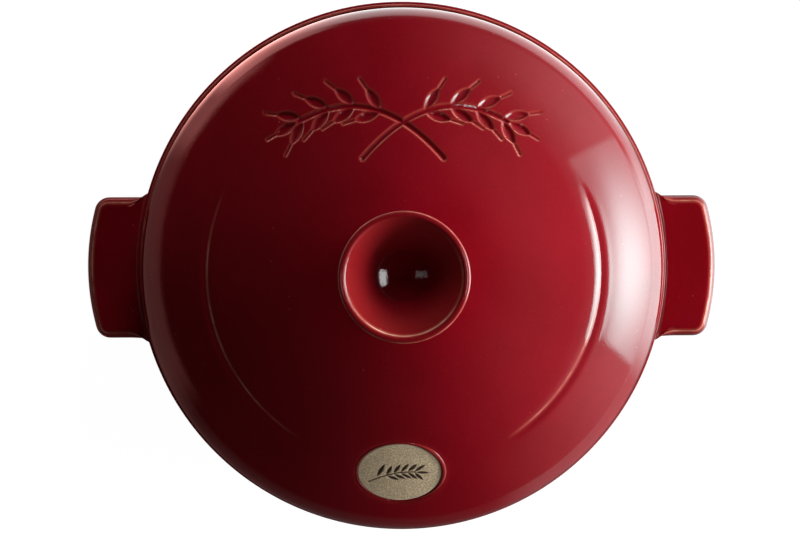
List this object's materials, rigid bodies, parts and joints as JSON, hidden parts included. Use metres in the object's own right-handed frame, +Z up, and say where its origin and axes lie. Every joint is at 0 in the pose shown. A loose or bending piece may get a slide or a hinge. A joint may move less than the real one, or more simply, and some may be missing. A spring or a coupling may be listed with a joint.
{
  "type": "bread cloche",
  "caption": "Domed glazed ceramic bread cloche: a lift-off lid with a dished knob stands in the rim of a round base dish with flat lug handles.",
  "frame": {"origin": "centre of the foot's underside, on the axis of both rims", "axes": "+Z up through the knob, X along the two handles, -Y towards the badge"},
  "size_m": [0.339, 0.2844, 0.165],
  "materials": {
    "red_glaze": "gloss",
    "bare_clay": "matte"
  },
  "bodies": {
    "base": {"base": "red_glaze"},
    "lid": {"lid": "red_glaze", "badge": "bare_clay"}
  },
  "joints": [
    {"name": "lid_lift", "type": "slide", "parent": "base", "child": "lid", "axis": [0, 0, 1], "range_m": [0, 0.15]}
  ]
}
